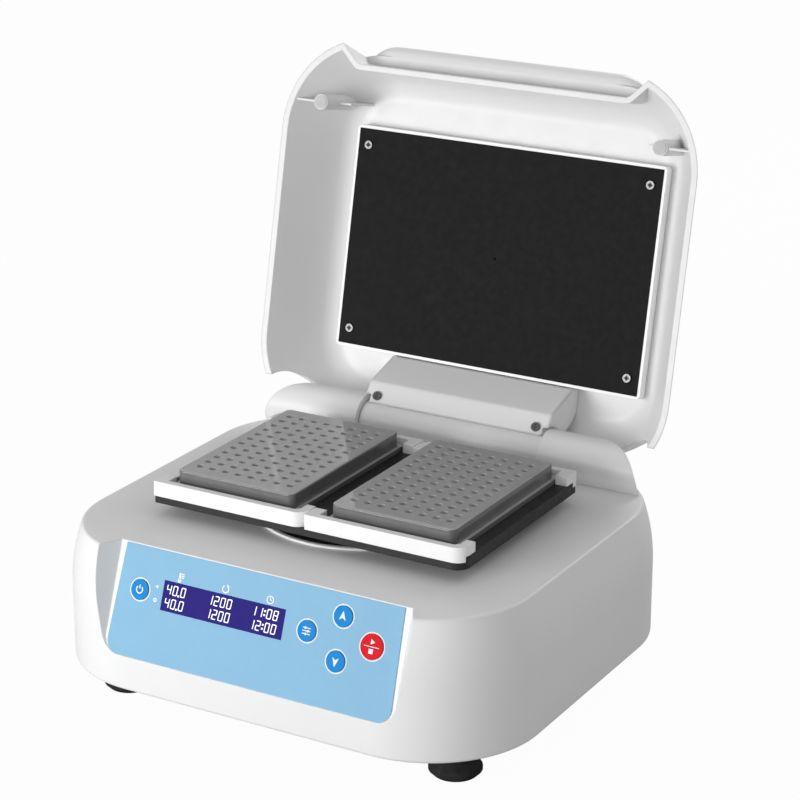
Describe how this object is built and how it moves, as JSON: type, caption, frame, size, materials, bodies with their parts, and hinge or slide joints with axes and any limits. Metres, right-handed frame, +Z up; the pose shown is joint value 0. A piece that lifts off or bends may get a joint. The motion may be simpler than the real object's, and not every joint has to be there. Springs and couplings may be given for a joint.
{
  "type": "two-plate dry block incubator shaker",
  "caption": "Bench-top dry block incubator shaker: heated, orbiting well blocks on a tray, a sloping key panel and a hinged heated lid.",
  "frame": {"origin": "centre of the box's underside, on the table", "axes": "+X to the user's right, +Y to the back, +Z up; the control panel faces -Y"},
  "size_m": [0.304, 0.3276, 0.3482],
  "materials": {
    "white_housing": "satin",
    "black_rubber": "matte",
    "steel": "satin",
    "sheet_steel": "satin",
    "white_ring": "gloss",
    "blue_overlay": "satin",
    "lcd_blue": "gloss",
    "board": "satin",
    "black_plastic": "satin",
    "blue_key": "satin",
    "red_key": "satin",
    "tray_black": "satin",
    "aluminium": "satin",
    "heat_mat": "matte",
    "heater_dark": "satin",
    "insulation": "matte",
    "bronze": "satin",
    "motor": "satin"
  },
  "bodies": {
    "base": {"upper_housing": "white_housing", "bottom_plate": "sheet_steel", "collar_ring": "white_ring", "splash_disc": "black_rubber", "rubber_feet": "black_rubber", "foot_screws": "steel", "housing_screws": "steel", "mechanism_plate": "sheet_steel", "mechanism_columns": "steel", "column_screws": "steel", "spindle_bearings": "steel", "guide_bushes": "bronze", "motor_stator": "motor", "panel_overlay": "blue_overlay", "lcd_window": "lcd_blue", "lcd_module": "black_plastic", "display_board": "board", "display_posts": "white_housing", "key_switches": "black_plastic", "power_supply": "board", "control_board": "board", "power_inlet": "black_plastic", "inlet_screws": "steel", "power_switch_body": "black_plastic", "hinge_shaft": "steel", "shaft_clips": "steel"},
    "spindle": {"motor_rotor": "steel", "eccentric_hub": "steel", "counterweight": "steel"},
    "tray": {"tray_hub": "sheet_steel", "tray_bearings": "steel", "tray_plate": "tray_black", "hub_screws": "steel", "rail_front_left": "white_ring", "rail_front_right": "white_ring", "rail_rear_left": "white_ring", "rail_rear_right": "white_ring", "heater_mats": "heat_mat", "heat_block_left": "aluminium", "heat_block_right": "aluminium"},
    "guide_crank_1": {"guide_crank_1": "steel"},
    "guide_crank_2": {"guide_crank_2": "steel"},
    "guide_crank_3": {"guide_crank_3": "steel"},
    "lid": {"lid_shell": "white_housing", "lid_rest_pads": "black_rubber", "heater_carrier": "white_housing", "heater_plate": "heater_dark", "heater_film": "heat_mat", "heater_insulation": "insulation", "heater_plate_screws": "steel", "hinge_cover": "white_housing", "hinge_cover_screws": "steel", "hinge_barrel": "white_housing", "hinge_arm_studs": "steel"},
    "power_key": {"key_power": "blue_key"},
    "set_key": {"key_set": "blue_key"},
    "up_key": {"key_up": "blue_key"},
    "down_key": {"key_down": "blue_key"},
    "start_stop_key": {"key_start_stop": "red_key"},
    "mains_rocker": {"power_rocker": "black_plastic"}
  },
  "joints": [
    {"name": "lid_hinge", "type": "hinge", "parent": "base", "child": "lid", "pos_m": [0, 0.08317, 0.1158], "axis": [1, 0, 0], "range_deg": [0, 102.3]},
    {"name": "spindle_turn", "type": "hinge", "parent": "base", "child": "spindle", "pos_m": [0, -0.02983, 0.0755], "axis": [0, 0, 1], "continuous": true},
    {"name": "tray_orbit", "type": "hinge", "parent": "spindle", "child": "tray", "pos_m": [0.0015, -0.02983, 0.0955], "axis": [0, 0, 1], "continuous": true},
    {"name": "guide_crank_1_turn", "type": "hinge", "parent": "base", "child": "guide_crank_1", "pos_m": [0, 0.00017, 0.0755], "axis": [0, 0, 1], "continuous": true},
    {"name": "guide_crank_2_turn", "type": "hinge", "parent": "base", "child": "guide_crank_2", "pos_m": [-0.02598, -0.04483, 0.0755], "axis": [0, 0, 1], "continuous": true},
    {"name": "guide_crank_3_turn", "type": "hinge", "parent": "base", "child": "guide_crank_3", "pos_m": [0.02598, -0.04483, 0.0755], "axis": [0, 0, 1], "continuous": true},
    {"name": "power_press", "type": "slide", "parent": "base", "child": "power_key", "axis": [0, 0.9385, -0.3453], "range_m": [0, 0.0006], "stiffness_N_per_m": 300},
    {"name": "set_press", "type": "slide", "parent": "base", "child": "set_key", "axis": [0, 0.9385, -0.3453], "range_m": [0, 0.0006], "stiffness_N_per_m": 300},
    {"name": "up_press", "type": "slide", "parent": "base", "child": "up_key", "axis": [0, 0.9385, -0.3453], "range_m": [0, 0.0006], "stiffness_N_per_m": 300},
    {"name": "down_press", "type": "slide", "parent": "base", "child": "down_key", "axis": [0, 0.9385, -0.3453], "range_m": [0, 0.0006], "stiffness_N_per_m": 300},
    {"name": "start_stop_press", "type": "slide", "parent": "base", "child": "start_stop_key", "axis": [0, 0.9385, -0.3453], "range_m": [0, 0.0006], "stiffness_N_per_m": 300},
    {"name": "rocker_tilt", "type": "hinge", "parent": "base", "child": "mains_rocker", "pos_m": [-0.008, 0.10257, 0.0535], "axis": [0, 0, 1], "range_deg": [-20, 0]}
  ],
  "couplings": [
    {"joint": "tray_orbit", "follows": "spindle_turn", "ratio": -1},
    {"joint": "guide_crank_1_turn", "follows": "spindle_turn", "ratio": 1},
    {"joint": "guide_crank_2_turn", "follows": "spindle_turn", "ratio": 1},
    {"joint": "guide_crank_3_turn", "follows": "spindle_turn", "ratio": 1}
  ]
}
